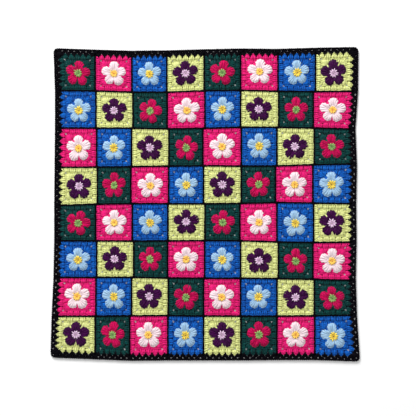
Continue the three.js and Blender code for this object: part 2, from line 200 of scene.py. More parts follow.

# Half widths from foot to top as shares of a stitch's half width, and shades from foot to top: painted
# shade, darkest at the foot where a stitch tucks in
POST_WIDTHS = np.array((0.6, 0.98, 1.03, 0.74))
POST_SHADES = np.array((0.55, 0.933, 0.967, 0.8))
VALLEY_WIDTHS = np.array((0.4, 0.75, 1.0, 0.8))
DIAGONAL_WIDTHS = np.array((0.7, 0.9, 0.85, 0.6))
PETAL_WIDTHS = np.array((0.58, 0.74, 0.95, 1.14, 1.05))
PETAL_SHADES = np.array((0.5, 0.85, 1.0, 0.95, 0.7))
CENTRE_SHADES = np.array((0.45, 0.8, 1.0, 1.0, 0.95))
SECOND_WIDTHS = np.array((0.6, 0.8, 0.82, 0.7))
FAN_WIDTHS = np.array((0.4, 0.8, 1.0, 0.8))
POST_SPREAD = (0.9, 1.06)  # from the thinnest stitch to the widest, as shares

# A petal's stitches: degrees from its axis at the foot and the top, and how far out the top is
PETAL_FEET = np.array((-29, -19, -10, 0, 10, 19, 29), float)
PETAL_TOPS = np.array((-29, -24, -13.5, 0, 13.5, 24, 29), float)
PETAL_REACH = np.array((20.6, 26.6, 30.4, 31.5, 30.4, 26.6, 20.6))
PETAL_FOOT = 11.4  # from the flower's middle to the feet
# The pad under a petal's stitches: how far out, and its half widths and half heights there
PAD_OUT = np.array((11.5, 18.0, 25.0, 29.8, 32.3))
PAD_WIDE = (4.6, 9.4, 12.4, 11.0, 6.6)
PAD_HIGH = (0.5, 0.8, 0.9, 0.9, 0.8)
PAD_LEVEL = 3.6
# The pad's painted shade, as a share from the yarn's shade colour to its own: it darkens the gaps
# between the petal's stitches
PAD_SHADE = 0.65
PETAL_FLAT = 0.76  # height of a petal's stitch as a share of its width
# The ring of stitches that the petals grow from
RING = {"stitches": 18, "from": 8.4, "to": 14.2, "wide": (1.4, 1.9, 1.7), "high": (1.1, 1.4, 1.2)}

# A flower's centre: its points, the ring round its hole, and the loose end that some have
POINTS = 10
POINTS_FROM = 2.4  # from the middle, as the next
POINTS_TO = (10.6, 12.6)
POINT_WIDTHS = np.array((0.8, 1.7, 2.4, 1.9, 0.5))
# The ring round the hole carries painted shade, at its shade share
HOLE_RING = {"reach": 2.5, "level": 5.0, "wide": 1.1, "high": 0.8, "shade": 0.6}
TAILS = 0.6  # the share of the centres that have one
TAIL_TURNS = (115, 155)
TAIL_REACH = (11.5, 14.5)
TAIL = {
    "points": ((0.45, 5.6), (0.8, 5.9), (1, 5.5)),  # shares of the way out, and levels
    "wide": (1.0, 1.15, 0.8), "high": (0.9, 1.0, 0.7), "shade": 0.95,
}

# A stitch of the braid and of the cord, point by point: how far along it is, in steps, how far
# out, in half widths of the join or in millimetres, and its height
BRAID = ((-0.62, 0.25, 3.1), (0.0, 0.62, 3.9), (0.62, 0.3, 3.2))
CORD = ((-0.7, -2.6, 2.3), (-0.25, -1.2, 3.9), (0.3, 0.6, 3.7), (0.75, 1.5, 2.0))
BRAID_WIDTHS = np.array((0.7, 1.0, 0.8))
CORD_WIDTHS = np.array((0.9, 1.5, 1.55, 1.0))
CORD_INSET = 1.1  # from the outer edge to the cord's line
CORE = {"level": 2.1, "wide": 1.9, "high": 1.7, "shade": 0.4}  # the thick strand in the cord
CORE_STEP = 12.0  # along the thick strand in the cord
WAY_STEP = 2.0  # to both sides of a place, to find the way ahead
LEGS_FROM = 0.6  # out from a square's side, where the joins' short legs start
LEGS_OUT = (-4.8, -2.6)  # where they end, in the square
LEG_LEVELS = (3.1, 3.2)
LEG_WIDE = (0.95, 0.7)
LEG_HIGH = (0.7, 0.6)

# The border: how far along, out and up the stitches that dip into the squares' spaces go
DIPS = ((0.5, -4.4, 2.6), (1.9, -0.6, 3.3), (3.7, 3.0, 3.1), (5.2, 7.0, 2.5))
DIP_WIDTHS = np.array((0.34, 0.62, 0.8, 0.8))
SECOND_ROUND = ((2.3, 7.2), (4.9, 13.4))  # how far apart and out its feet and its tops are
FAN = 7  # stitches of each round at a corner of the blanket
FAN_OUT = {"first": 7.4, "second": (7.6, 13.6)}
FAN_SHORTNESS = 0.78  # less makes the fans reach further out at the corner itself
BLACK_LOW = 0.4  # the darkest shade of the black stitches
TOOTH = 4.4  # half the depth of the teeth along the border
TOOTH_LEAST = 0.85  # the share of it that the teeth at a side's ends have
TOOTH_SHAPE = ((0.28, 0.3), (0.42, 0.85), (0.58, 0.85), (0.72, 0.3))  # shares along and out
EDGE_OUT = 15.4  # from a square's side to the outer edge of the border's plate
CORNER_OUT = 7.0  # to where its rounded corners start
CORNER_BULGE = 1.6  # of their middle, across and up

# How open the border's holes are on each side, anticlockwise from the bottom: at the tips of the
# teeth and in the second round; and how far out the hole of the corner after that side lies
BORDER_HOLES = (
    {"tips": 0.95, "round": 1.08, "corner": 8.0},
    {"tips": 0.8, "round": 1.18, "corner": 10.6},
    {"tips": 0.9, "round": 0.88, "corner": 11.0},
    {"tips": 1.1, "round": 1.05, "corner": 11.3},
)
HOLE_SHARES = (0.75, 1.05)  # the smallest hole and the largest, as shares
DRAWN_IN = (0.4, 1.15)  # and by how much more the second round's change from square to square
BLANKET_HOLE = 3.2  # half the hole at each corner of the blanket
HOLE_ROWS = (  # how far out each row of holes is, and half a hole's length and width
    {"row": "tips", "along": TIPS, "out": 5.6, "half": (2.4, 1.8)},
    {"row": "round", "along": SPACES, "out": 11.0, "half": (2.8, 2.2)},
)

# The plates of the thin base, from low to high
SQUARE_PLATE = (1.7, 2.3)
BORDER_PLATE = (1.6, 2.2)
JOIN_PLATE = (1.2, 1.8)
# The painted shadows in the spaces between groups: spots of black yarn just above a square's plate
SHADOW_SPOT_PLATE = (2.3, 2.42)
SHADOW_SPOT_OUT = 37.4  # from the square's middle to the painted shadows in the spaces
SHADOW_SPOT_HALVES = ((1.3, 0.9), (2.3, 1.6))  # half their length and width, at least and at most
BLACK = len(KINDS)  # the black yarn's place among the base's yarns
JOIN_PLATE_HALF = 3.4  # half the width
PLATE_LAP = 0.4  # how far the border's plates lie under the squares

UP = np.array((0.0, 0.0, 1.0))
SIDES = (  # of a square, anticlockwise: the way along and the way out
    {"along": (1, 0), "out": (0, -1)},
    {"along": (0, 1), "out": (1, 0)},
    {"along": (-1, 0), "out": (0, 1)},
    {"along": (0, -1), "out": (-1, 0)},
)
CORNERS = np.array(((1, 1), (-1, 1), (-1, -1), (1, -1)), float)
ALL_SQUARES = [(strip, column) for strip in range(SQUARES) for column in range(SQUARES)]
CORNER_SQUARES = ((LAST, LAST), (0, LAST), (0, 0), (LAST, 0))


def srgb(red, green, blue):
    """A colour as a monitor shows it, from 0 to 255, as the linear one that shaders take."""
    parts = np.array((red, green, blue)) / 255
    return tuple(np.where(parts < 0.04045, parts / 12.92, ((parts + 0.055) / 1.055) ** 2.4))


def placed(name, data):
    """An object of that name in the scene."""
    made = bpy.data.objects.new(name, data)
    bpy.context.scene.collection.objects.link(made)
    return made


# Points and ways

def columns(*parts):
    """Points from columns of numbers, where a lone number fills its column."""
    return np.stack(np.broadcast_arrays(*parts), axis=-1).astype(float)


def at_level(plan, z):
    """The places of a plan (n, 2) at a height."""
    return np.column_stack((plan, np.broadcast_to(z, len(plan))))


def unit(ways):
    return ways / np.linalg.norm(ways, axis=-1, keepdims=True)


def left_of(ways):
    return columns(-ways[:, 1], ways[:, 0])


def polar(degrees, reach):
    """Places that far from a middle in those directions."""
    turn = np.radians(degrees)
    return columns(reach * np.cos(turn), reach * np.sin(turn))


def runs_along(points):
    """How far along a line of points each of them lies."""
    return np.concatenate(((0,), np.cumsum(np.linalg.norm(np.diff(points, axis=0), axis=1))))


def on_line(spots, runs, points, period=None):
    """The places at those distances along a line of points."""
    return columns(*(np.interp(spots, runs, points[:, axis], period=period) for axis in (0, 1)))


# The plan

def even_x(line):
    return (line - SQUARES / 2) * PITCH_X + MIDDLE_X


def even_y(line):
    return (SQUARES / 2 - line) * PITCH_Y + MIDDLE_Y


def along_lines(values, place):
    return np.interp(place, np.arange(SQUARES + 1), values)


def column_at(x):
    return (x - MIDDLE_X) / PITCH_X + SQUARES / 2


def line_x(line, strip, place):
    """The upright line of that number in a strip, at a place counted in strips from the top."""
    if line == 0:
        return along_lines(OUTLINE["left"], place) + BORDER
    if line == SQUARES:
        return along_lines(OUTLINE["right"], place) - BORDER
    return even_x(line) + STRIPS[strip]["shifts"][line - 1]


def line_y(line, x):
    """The level line of that number at a place x."""
    if line == 0:
        return along_lines(OUTLINE["top"], column_at(x)) - BORDER
    if line == SQUARES:
        return along_lines(OUTLINE["bottom"], column_at(x)) + BORDER
    lifts = np.array(SEAM_LIFTS[line - 1], float)
    at_lines = np.concatenate((lifts[:1], (lifts[1:] + lifts[:-1]) / 2, lifts[-1:]))
    return even_y(line) + along_lines(at_lines, column_at(x))


def square_point(strip, column, s, t):
    """Points of a square, with s and t from -1 to 1 across and up it, before the last shift."""
    def room(line):
        return 0 if line in (0, SQUARES) else JOIN_ROOM

    place = strip + (1 - t) / 2
    left = line_x(column, strip, place) + room(column)
    right = line_x(column + 1, strip, place) - room(column + 1)
    x = left + (right - left) * (s + 1) / 2
    top = line_y(strip, x) - room(strip)
    bottom = line_y(strip + 1, x) + room(strip + 1)
    return x, bottom + (top - bottom) * (t + 1) / 2


def outer_edge(inset=0.0):
    """The outer edge, anticlockwise, as the points that the solids have, drawn in by an inset."""
    left, right, top, bottom = (
        np.array(OUTLINE[side]) - np.sign(OUTLINE[side]) * inset
        for side in ("left", "right", "top", "bottom")
    )
    lines = np.arange(SQUARES + 1)
    x, y = even_x(lines), even_y(lines)
    sides = (
        ((left[-1], bottom[0]), columns(x, bottom)[1:-1]),
        ((right[-1], bottom[-1]), columns(right, y)[-2:0:-1]),
        ((right[0], top[-1]), columns(x, top)[-2:0:-1]),
        ((left[0], top[0]), columns(left, y)[1:-1]),
    )
    share = np.linspace(0, 1, CORNER_POINTS)[:, None]
    edge = []
    for number, (corner, points) in enumerate(sides):
        start, end = (
            corner + unit(other - corner) * (CORNER_ROUND - inset)
            for other in (sides[number - 1][1][-1], points[0])
        )
        bend = start * (1 - share) ** 2 + np.array(corner) * 2 * share * (1 - share) + end * share ** 2
        edge += [bend, points]
    return np.concatenate(edge)


EDGE_POINTS = outer_edge()
SHIFT = (EDGE_POINTS.max(axis=0) + EDGE_POINTS.min(axis=0)) / 2


def in_square(strip, column):
    """Takes a square's own millimetres to the blanket's."""
    return lambda a, b: square_point(strip, column, a / HALF, b / HALF)


def flower_middle(strip, column):
    """Where a flower's middle lies in its square."""
    places = FLOWER_PLACES[strip]
    return np.array((places["right"][column], places["up"][column]), float)


def in_flower(strip, column):
    """Takes millimetres from a flower's middle to the blanket's."""
    right, up = flower_middle(strip, column)
    return lambda a, b: square_point(strip, column, (a + right) / HALF, (b + up) / HALF)


def on_side(strip, column, side):
    """Takes millimetres along and out from one side of a square to the blanket's."""
    along, out = SIDES[side]["along"], SIDES[side]["out"]

    def place(p, q):
        s = p / HALF * along[0] + out[0]
        t = p / HALF * along[1] + out[1]
        x, y = square_point(strip, column, s, t)
        return x + q * out[0], y + q * out[1]
    return place


def at_corner(strip, column, side):
    """Takes millimetres out from a side and from the next one, at the corner between them."""
    first, second = SIDES[side]["out"], SIDES[(side + 1) % 4]["out"]
    s, t = np.add(first, second)
    x, y = square_point(strip, column, float(s), float(t))
    return lambda a, b: (x + a * first[0] + b * second[0], y + a * first[1] + b * second[1])


def border_side(strip, column, side):
    return (strip == LAST, column == LAST, strip == 0, column == 0)[side]


# Yarn

class Strands:
    """Closed tubes of yarn, gathered as arrays to become one mesh."""

    def __init__(self):
        self.points = []
        self.faces = []
        self.marks = []
        self.count = 0

    def add(self, paths, wide, high, shade=1.0, place=None, sides=5):
        """Tubes along paths (n, k, 3), half as wide and high as given, from 0 to 1 in shade, 0 being the
        yarn's painted shade colour.
        place takes each tube's own plan to the blanket's."""
        paths = np.asarray(paths, float)
        n, k, _ = paths.shape
        if n == 0:
            return
        wide = np.broadcast_to(np.asarray(wide, float), (n, k))
        high = np.broadcast_to(np.asarray(high, float), (n, k))
        shade = np.asarray(shade, float)
        if shade.ndim == 1 and shade.shape[0] == n:
            shade = shade[:, None]
        shade = np.broadcast_to(shade, (n, k))
        ahead = unit(np.gradient(paths, axis=1))
        across = np.cross(ahead, UP)
        across /= np.linalg.norm(across, axis=2, keepdims=True) + 1e-9
        above = np.cross(across, ahead)
        turn = 2 * np.pi * (np.arange(sides) + 0.5) / sides
        rings = (
            paths[:, :, None]
            + (wide[..., None] * np.cos(turn))[..., None] * across[:, :, None]
            + (high[..., None] * np.sin(turn))[..., None] * above[:, :, None]
        )
        x, y = place(rings[..., 0], rings[..., 1]) if place else (rings[..., 0], rings[..., 1])
        self.points.append(np.stack((x, y, rings[..., 2]), axis=-1).reshape(-1, 3))

        ids = self.count + np.arange(n * k * sides).reshape(n, k, sides)
        near, far = ids[:, :-1], ids[:, 1:]
        quads = np.stack((near, far, np.roll(far, -1, 2), np.roll(near, -1, 2)), axis=-1)
        self.faces += [quads.reshape(-1, 4), ids[:, 0], ids[:, -1, ::-1]]
        self.count += n * k * sides

        steps = np.linalg.norm(np.diff(paths, axis=1), axis=2)
        run = np.concatenate((np.zeros((n, 1)), np.cumsum(steps, axis=1)), axis=1)
        round_share = np.arange(sides + 1) / sides
        mark = np.zeros((n, k - 1, sides, 4, 3))
        for corner, (on, turned) in enumerate(((0, 0), (1, 0), (1, 1), (0, 1))):
            mark[..., corner, 0] = round_share[turned:turned + sides]
            mark[..., corner, 1] = run[:, on:on + k - 1, None]
            mark[..., corner, 2] = shade[:, on:on + k - 1, None]
        ends = np.zeros((2, n, sides, 3))
        ends[0, ..., 2] = shade[:, :1]
        ends[1, ..., 2] = shade[:, -1:]
        self.marks += [mark.reshape(-1, 3), ends.reshape(-1, 3)]

    def make(self, name, material):
        """The piece, in metres, smooth, with its yarn marks for the material."""
        points = np.concatenate(self.points)
        points[:, :2] -= SHIFT
        corners = np.concatenate([faces.ravel() for faces in self.faces])
        sizes = np.concatenate([np.full(len(faces), faces.shape[1]) for faces in self.faces])
        starts = np.concatenate(((0,), np.cumsum(sizes)[:-1]))

        mesh = bpy.data.meshes.new(name)
        mesh.vertices.add(len(points))
        mesh.vertices.foreach_set("co", (points * MM).astype(np.float32).ravel())
        mesh.loops.add(len(corners))
        mesh.loops.foreach_set("vertex_index", corners.astype(np.int32))
        mesh.polygons.add(len(sizes))
        mesh.polygons.foreach_set("loop_start", starts.astype(np.int32))
        mesh.update(calc_edges=True)
        mesh.shade_smooth()
        layer = mesh.attributes.new("yarn", "FLOAT_VECTOR", "CORNER")
        layer.data.foreach_set("vector", np.concatenate(self.marks).astype(np.float32).ravel())
        mesh.materials.append(material)
        return placed(name, mesh)


def tall_stitches(feet, tops, levels, rng, wander=0.3, steps=5):
    """Paths of tall stitches from feet (n, 2) to tops (n, 2), with their levels."""
    low, high, bow = levels
    share = np.linspace(0, 1, steps)[None, :, None]
    plan = feet[:, None] * (1 - share) + tops[:, None] * share
    across = unit(left_of(tops - feet))
    sway = rng.normal(0, wander, (len(feet), 1, 1)) * np.sin(np.pi * 2 * share)
    lean = rng.normal(0, wander, (len(feet), 1, 1)) * np.sin(np.pi * share)
    plan = plan + (sway + lean) * across[:, None]
    z = low * (1 - share) + high * share + bow * np.sin(np.pi * share)
    z = z + rng.normal(0, JITTER["level"], (len(feet), 1, 1))
    return np.concatenate((plan, z), axis=2)


def loop_tops(yarn, tops, out, loops, radii, shade, place):
    """Small loops along a round: one over each top, pointing out."""
    spread, reach, level, rise = loops
    out = unit(np.broadcast_to(out, tops.shape))
    along = left_of(out)
    paths = [
        at_level(tops + along * spread * side + out * reach * forth, level + rise * up)
        for side, forth, up in LOOP_SHAPE
    ]
    yarn.add(np.stack(paths, axis=1), *radii, shade, place, sides=4)


def shades(rng, count, low=0.5):
    return rng.uniform(low, 1.0, count)


def threes(middles):
    """Each stitch's group's middle, and its own place in the group of three."""
    return np.repeat(middles, 3), np.tile((-1, 0, 1), len(middles))


def side_plan(side, p, q):
    """Places p along and q out from a square's middle, as its own plan."""
    return np.multiply.outer(p, SIDES[side]["along"]) + np.multiply.outer(q, SIDES[side]["out"])


def posts(yarn, feet, tops, levels, widths, spread, sizes, rng, place):
    """A ground's tall stitches, some a little wider than others, with painted shade at the foot and the
    top.
    """
    paths = tall_stitches(feet, tops, levels, rng, steps=4)
    wide = sizes.post * widths * rng.uniform(*spread, (len(feet), 1))
    shade = shades(rng, len(feet))[:, None] * POST_SHADES
    yarn.add(paths, wide, wide * sizes.flat, shade, place)


def last_round(yarn, strip, column, sizes, rng):
    """The last round of a square: five groups of three on each side, toothed along the border."""
    place = in_square(strip, column)
    middle, stitch = threes(GROUP_MIDDLES)
    corner = np.abs(middle) == GROUP_MIDDLES[-1]
    count = len(middle)
    feet_q = np.where(corner, LAST_FEET["corner"], LAST_FEET["even"])
    for side in range(4):
        toothed = border_side(strip, column, side)
        apart = np.where(corner, LAST_APART["corner"], LAST_APART["toothed" if toothed else "even"])
        feet_p = middle + stitch * apart - np.sign(middle) * CORNER_PULL * corner
        tops_p = middle + stitch * STITCH_STEP * (TOOTH_SQUEEZE if toothed else 1)
        tops_q = LAST_TOPS["even"]
        if toothed:
            tops_q = np.where(stitch == 0, LAST_TOPS["tip"], LAST_TOPS["toothed"])
        feet = side_plan(side, feet_p, feet_q) + rng.normal(0, JITTER["last_feet"], (count, 2))
        tops = side_plan(side, tops_p, tops_q) + rng.normal(0, JITTER["last_tops"], (count, 2))
        posts(yarn, feet, tops, LAST_LEVELS, POST_WIDTHS, POST_SPREAD, sizes, rng, place)
        radii = (sizes.loop, sizes.loop * 0.9)
        loop_tops(yarn, tops, SIDES[side]["out"], LAST_LOOPS, radii, shades(rng, count), place)


def inner_round(yarn, strip, column, turn, sizes, rng):
    """The round before the last, left out where the petals cover it."""
    place = in_square(strip, column)
    lobes = polar(90 + turn + 360 / PETALS * np.arange(PETALS), PETAL_MIDDLE + 2)
    lobes = lobes + flower_middle(strip, column)
    middle, stitch = threes((np.arange(GROUPS - 1) - (GROUPS - 2) / 2) * INNER_STEP)
    corner = np.abs(middle) > INNER_STEP
    outermost = corner & (stitch * middle > 0)
    feet_p = middle * INNER_DRAWN + stitch * INNER_APART
    feet_q = np.where(corner, INNER_FEET["corner"], INNER_FEET["even"])
    tops_p = middle + stitch * np.where(outermost, INNER_SPREAD["outermost"], INNER_SPREAD["even"])
    for side in range(4):
        feet = side_plan(side, feet_p, feet_q)
        tops = side_plan(side, tops_p, INNER_TOPS)
        tops = tops + rng.normal(0, JITTER["inner"], (len(middle), 2))
        gaps = np.linalg.norm((feet + tops)[:, None] / 2 - lobes[None], axis=2).min(axis=1)
        shown = gaps > PETAL_ROOM
        feet, tops = feet[shown], tops[shown]
        posts(yarn, feet, tops, INNER_LEVELS, 0.95 * POST_WIDTHS, POST_SPREAD, sizes, rng, place)
        radii = (sizes.loop, sizes.loop * 0.85)
        loop_tops(yarn, tops, SIDES[side]["out"], INNER_LOOPS, radii, shades(rng, len(tops)), place)


def corner_chains(yarn, strip, column, sizes, rng):
    """The diagonal stitches of a square's corners, and the chains round its corner holes."""
    place = in_square(strip, column)
    feet, tops = (CORNERS * out for out in DIAGONALS["inner"])
    paths = tall_stitches(feet, tops, (2.1, 2.2, 0.4), rng, steps=4)
    wide = sizes.post * DIAGONAL_WIDTHS
    yarn.add(paths, wide, wide * sizes.flat, shades(rng, 4), place)
    for out, level in CHAINS:
        paths = np.stack([at_level((out - CHAIN_SHAPE) * corner, level) for corner in CORNERS])
        yarn.add(paths, sizes.loop * 1.15, sizes.loop, shades(rng, 4), place)
    feet, tops = (CORNERS * out for out in DIAGONALS["outer"])
    paths = tall_stitches(feet, tops, (2.1, 2.3, 0.3), rng, steps=3)
    yarn.add(paths, sizes.post * 0.8, sizes.post * 0.6, shades(rng, 4), place)


def valley_stitches(yarn, strip, column, turn, sizes, rng):
    """The ground's stitches that reach in between the petals."""
    valley, stitch = threes(90 + turn + 360 / PETALS * (np.arange(PETALS) + 0.5))
    feet, tops = (polar(valley + apart * stitch, out) for apart, out in VALLEYS)
    place = in_flower(strip, column)
    posts(yarn, feet, tops, VALLEY_LEVELS, 0.95 * VALLEY_WIDTHS, (0.93, 1.07), sizes, rng, place)


def flower(petals, strip, column, turn, shape, sizes, rng):
    """Five petals, each a fan of tall stitches with a loop over each top, on a ring."""
    place = in_flower(strip, column)
    count = len(PETAL_FEET)
    for petal in range(PETALS):
        axis = 90 + turn + 360 / PETALS * petal + rng.normal(0, 1.5)
        size = shape["petals"] * rng.uniform(0.96, 1.04)
        feet = polar(axis + PETAL_FEET, PETAL_FOOT)
        tops = polar(axis + PETAL_TOPS * shape["spread"], PETAL_REACH * size)
        tops += rng.normal(0, JITTER["petals"], (count, 2))
        paths = tall_stitches(feet, tops, PETAL_LEVELS, rng, wander=0.25)
        wide = PETAL_WIDTHS * rng.uniform(0.93, 1.05, (count, 1)) * sizes.post
        shade = shades(rng, count, 0.55)[:, None] * PETAL_SHADES
        petals.add(paths, wide, wide * PETAL_FLAT, shade, place, sides=6)
        pad = at_level(polar(axis, PAD_OUT * size), PAD_LEVEL)
        petals.add(pad[None], PAD_WIDE, PAD_HIGH, PAD_SHADE, place, sides=6)
        ways = tops - polar(axis, PETAL_MIDDLE * size)
        radii = (sizes.loop * 1.15, sizes.loop)
        loop_tops(petals, tops, ways, PETAL_LOOPS, radii, shades(rng, count, 0.7), place)
    count = RING["stitches"]
    at = turn + 360 / count * np.arange(count) + rng.normal(0, 1.5, count)
    feet, tops = polar(at, RING["from"]), polar(at, RING["to"])
    paths = tall_stitches(feet, tops, RING_LEVELS, rng, wander=0.1, steps=3)
    petals.add(paths, RING["wide"], RING["high"], shades(rng, count, 0.55), place)


def centre(yarn, strip, column, turn, shape, rng):
    """The flower's centre: pointed stitches round a small ring with a hole in its middle."""
    place = in_flower(strip, column)
    ways = polar(turn + 360 / POINTS * np.arange(POINTS) + rng.normal(0, 2.5, POINTS), 1)
    reach = shape["centre"] * rng.uniform(*POINTS_TO, (POINTS, 1))
    paths = tall_stitches(ways * POINTS_FROM, ways * reach, CENTRE_LEVELS, rng, wander=0.15)
    shade = shades(rng, POINTS, 0.75)[:, None] * CENTRE_SHADES
    yarn.add(paths, POINT_WIDTHS, POINT_WIDTHS * 0.75, shade, place)
    ring = at_level(polar(np.linspace(0, 360, 10), HOLE_RING["reach"]), HOLE_RING["level"])
    yarn.add(ring[None], HOLE_RING["wide"], HOLE_RING["high"], HOLE_RING["shade"], place)
    if rng.random() < TAILS:
        tip = polar(turn + rng.uniform(*TAIL_TURNS), rng.uniform(*TAIL_REACH))
        tail = np.array([(*tip * share, level) for share, level in TAIL["points"]])
        yarn.add(tail[None], TAIL["wide"], TAIL["high"], TAIL["shade"], place)


# Joins and border

def join_lines():
    """The lines that the joins follow."""
    lines = []
    for seam in range(1, SQUARES):
        x = np.linspace(line_x(0, 0, seam), line_x(SQUARES, 0, seam), 81)
        lines.append(columns(x, line_y(seam, x)))
    for strip in range(SQUARES):
        for line in range(1, SQUARES):
            x = line_x(line, strip, strip)
            lines.append(columns(x, np.linspace(line_y(strip + 1, x), line_y(strip, x), 12)))
    return lines


def braid(yarn, line, sizes, rng):
    """A join: a braid of slanting stitches in two rows along a line."""
    runs = runs_along(line)
    half, step = sizes.join_half, sizes.join_step
    count = max(2, round(runs[-1] / step))
    at = np.linspace(0, runs[-1], count + 1)[:-1] + runs[-1] / count / 2
    places = on_line(at, runs, line)
    ahead = unit(on_line(at + WAY_STEP, runs, line) - on_line(at - WAY_STEP, runs, line))
    for way in (-1, 1):
        paths = []
        wander = rng.normal(0, JITTER["braid"], (count, 2))
        for along, out, height in BRAID:
            plan = places + along * step * ahead - way * out * half * left_of(ahead) + wander
            paths.append(at_level(plan, height))
        radius = half * 0.5 * rng.uniform(0.92, 1.08, (count, 1)) * BRAID_WIDTHS
        yarn.add(np.stack(paths, axis=1), radius, radius, shades(rng, count), sides=4)


def join_dips(yarn, rng):
    """The short legs of a join that reach into the spaces of the squares beside it."""
    count = len(SPACES)
    for strip, column in ALL_SQUARES:
        for side in range(4):
            if border_side(strip, column, side):
                continue
            sway = rng.normal(0, JITTER["legs"], (2, count))
            feet = columns(SPACES + sway[0], rng.uniform(*LEGS_OUT, count), LEG_LEVELS[0])
            ends = columns(SPACES + sway[1], LEGS_FROM, LEG_LEVELS[1])
            paths = np.stack((feet, ends), axis=1)
            place = on_side(strip, column, side)
            yarn.add(paths, LEG_WIDE, LEG_HIGH, shades(rng, count, 0.3), place, sides=4)


def border_sides():
    """Every side of a square that meets the border, anticlockwise, with its number on that side."""
    for side in range(4):
        for number in range(SQUARES):
            back = LAST - number
            strip, column = ((LAST, number), (back, LAST), (0, back), (number, 0))[side]
            yield strip, column, side, number


def black_stitches(yarn, paths, widths, sizes, rng, place):
    wide = sizes.post * widths
    yarn.add(paths, wide, wide * sizes.flat, shades(rng, len(paths), BLACK_LOW), place)


def border_rounds(yarn, sizes, rng):
    """Two rounds of black groups: the first dips into the squares' spaces."""
    for strip, column, side, number in border_sides():
        place = on_side(strip, column, side)
        p, stitch = threes(SPACES)
        paths = np.stack([columns(p + stitch * apart, out, z) for apart, out, z in DIPS], axis=1)
        tops = paths[:, -1, :2].copy()
        paths[:, 1:, :2] += rng.normal(0, JITTER["dips"], (len(p), 1, 2))
        black_stitches(yarn, paths, DIP_WIDTHS, sizes, rng, place)
        shade = shades(rng, len(p), BLACK_LOW)
        loop_tops(yarn, tops, (0, 1), BORDER_LOOPS, (sizes.loop, sizes.loop), shade, place)

        p, stitch = threes(TIPS if number == LAST else np.append(TIPS, HALF + JOIN_ROOM))
        feet, tops = (columns(p + stitch * apart, out) for apart, out in SECOND_ROUND)
        paths = tall_stitches(feet, tops, BORDER_LEVELS, rng, steps=4)
        black_stitches(yarn, paths, SECOND_WIDTHS, sizes, rng, place)


def border_corners(yarn, sizes, rng):
    """The fans of both rounds at the blanket's corners."""
    ways = polar(np.linspace(-6, 96, FAN), 1)
    reach = 1 / np.maximum(np.abs(ways).max(axis=1, keepdims=True), FAN_SHORTNESS)
    spread = np.arange(FAN) != FAN // 2  # the corner hole is left open
    for side, (strip, column) in enumerate(CORNER_SQUARES):
        place = at_corner(strip, column, side)
        tops = ways * FAN_OUT["first"] * reach
        paths = tall_stitches(ways * 0.5 - 4.6, tops, FAN_LEVELS, rng, steps=4)
        black_stitches(yarn, paths, FAN_WIDTHS, sizes, rng, place)
        feet, tops = (ways * out * reach for out in FAN_OUT["second"])
        paths = tall_stitches(feet[spread], tops[spread], BORDER_LEVELS, rng, steps=4)
        black_stitches(yarn, paths, FAN_WIDTHS, sizes, rng, place)


def edge_cord(yarn, sizes, rng):
    """The corded edge: slanting stitches over one thick strand, all round."""
    inner = outer_edge(CORD_INSET)
    step = sizes.cord_step
    loop = np.concatenate((inner, inner[:1]))
    runs = runs_along(loop)
    length_round = runs[-1]
    count = round(length_round / step)
    at = np.arange(count) * length_round / count
    paths = []
    for along, out, height in CORD:
        before, here, after = (
            on_line(at + along * step + more, runs, loop, length_round)
            for more in (-WAY_STEP, 0, WAY_STEP)
        )
        paths.append(at_level(here - out * left_of(unit(after - before)), height))
    paths = np.stack(paths, axis=1)
    paths[..., :2] += rng.normal(0, JITTER["cord"], (count, 1, 2))
    radius = CORD_WIDTHS * rng.uniform(0.92, 1.08, (count, 1))
    yarn.add(paths, radius, radius, shades(rng, count, BLACK_LOW))
    count = round(length_round / CORE_STEP)
    at = (np.arange(count + 2) % count + 0.5) * length_round / count
    path = at_level(on_line(at, runs, loop), CORE["level"])
    yarn.add(path[None], CORE["wide"], CORE["high"], CORE["shade"], sides=6)


# The thin base that the stitches stand on

class Plates:
    """Closed thin plates in several yarns, to become one mesh."""

    def __init__(self):
        self.points = []
        self.faces = []
        self.yarns = []

    def add(self, rings, low, high, yarn):
        """A plate inside the first ring and round the others, from low to high."""
        flat = [[Vector((x, y, 0)) for x, y in ring] for ring in rings]
        plan = [point for ring in rings for point in ring]
        start = len(self.points)
        count = len(plan)
        self.points.extend((x, y, low) for x, y in plan)
        self.points.extend((x, y, high) for x, y in plan)
        for a, b, c in tessellate_polygon(flat):
            (ax, ay), (bx, by), (cx, cy) = plan[a], plan[b], plan[c]
            if (bx - ax) * (cy - ay) < (by - ay) * (cx - ax):
                b, c = c, b
            self.faces.append((start + count + a, start + count + b, start + count + c))
            self.faces.append((start + a, start + c, start + b))
            self.yarns.extend((yarn, yarn))
        first = 0
        for ring in rings:
            for i in range(len(ring)):
                a, b = start + first + i, start + first + (i + 1) % len(ring)
                self.faces.append((a, b, b + count, a + count))
                self.yarns.append(yarn)
            first += len(ring)

    def make(self, name, materials):
        """The piece, in metres, with a material for each yarn."""
        points = np.array(self.points)
        points[:, :2] -= SHIFT
        mesh = bpy.data.meshes.new(name)
        mesh.from_pydata((points * MM).tolist(), [], self.faces)
        for material in materials:
            mesh.materials.append(material)
        mesh.polygons.foreach_set("material_index", self.yarns)
        mesh.update()
        return placed(name, mesh)


def diamond(place, a, b, half_a, half_b, slant=0.0):
    """A hole or spot with four corners, anticlockwise."""
    turn = np.radians(slant + np.array((0, 90, 180, 270)))
    sizes = np.array((half_a, half_b, half_a, half_b))
    return columns(*place(a + sizes * np.cos(turn), b + sizes * np.sin(turn))).tolist()


def tooth_places():
    """Places along a toothed side and how far each stands out, as in the solids."""
    places = [(-HALF, 0.0)]
    for number, space in enumerate(SPACES):
        swell = np.sin(np.pi * (space / HALF + 1) / 2)
        depth = TOOTH * (TOOTH_LEAST + (1 - TOOTH_LEAST) * swell)
        places.append((space, -depth))
        if number < GROUPS:
            for share, out in TOOTH_SHAPE:
                places.append((space + GROUP_STEP * share, depth * out))
    return places


def to_points(place, places, more=0.0):
    """A line of places (along, out) as points of the blanket, moved out by that much more."""
    along, out = np.array(places, float).T
    return columns(*place(along, out + more)).tolist()


